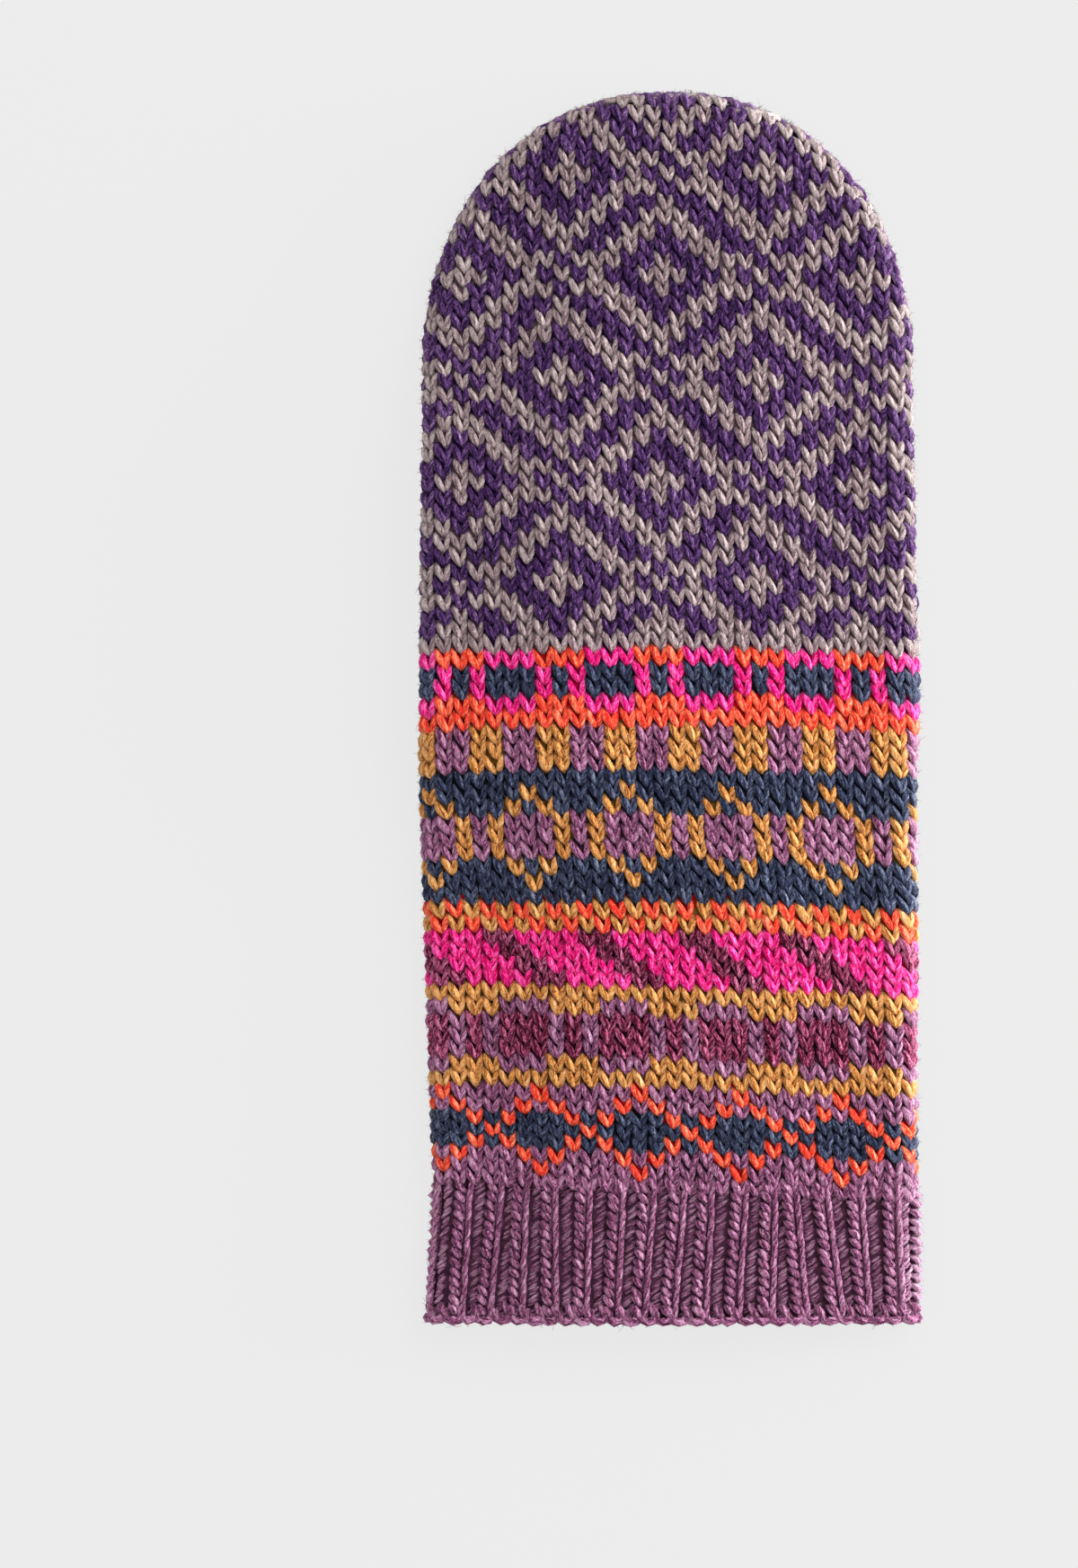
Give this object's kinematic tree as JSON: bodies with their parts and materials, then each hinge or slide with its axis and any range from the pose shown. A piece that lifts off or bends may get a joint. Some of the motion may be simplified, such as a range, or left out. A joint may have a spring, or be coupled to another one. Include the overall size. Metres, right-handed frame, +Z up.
{
  "type": "wool mitten",
  "caption": "Right-hand knitted wool mitten with ribbed cuff, patterned tube hand with rounded fingertips and a plain thumb, lying palm down and open at the wrist.",
  "frame": {"origin": "on the table under the middle of the mitten as it lies palm down", "axes": "+Y from the wrist to the fingertips, +Z up out of the back of the hand, +X to the little finger's side"},
  "size_m": [0.106, 0.26, 0.0205],
  "materials": {
    "yarn_mauve": "matt plied wool yarn, dusty mauve",
    "yarn_purple": "matt plied wool yarn, deep purple",
    "yarn_taupe": "matt plied wool yarn, warm grey taupe",
    "yarn_pink": "matt plied wool yarn, bright pink",
    "yarn_orange": "matt plied wool yarn, red orange",
    "yarn_ochre": "matt plied wool yarn, ochre",
    "yarn_navy": "matt plied wool yarn, dark navy",
    "yarn_burgundy": "matt plied wool yarn, burgundy"
  },
  "bodies": {
    "root": {"cast_on_edge": "yarn_mauve", "ribbed_cuff": "yarn_mauve", "banded_hand": "yarn_pink", "diamond_hand": "yarn_purple", "thumb": "yarn_taupe"}
  },
  "joints": []
}
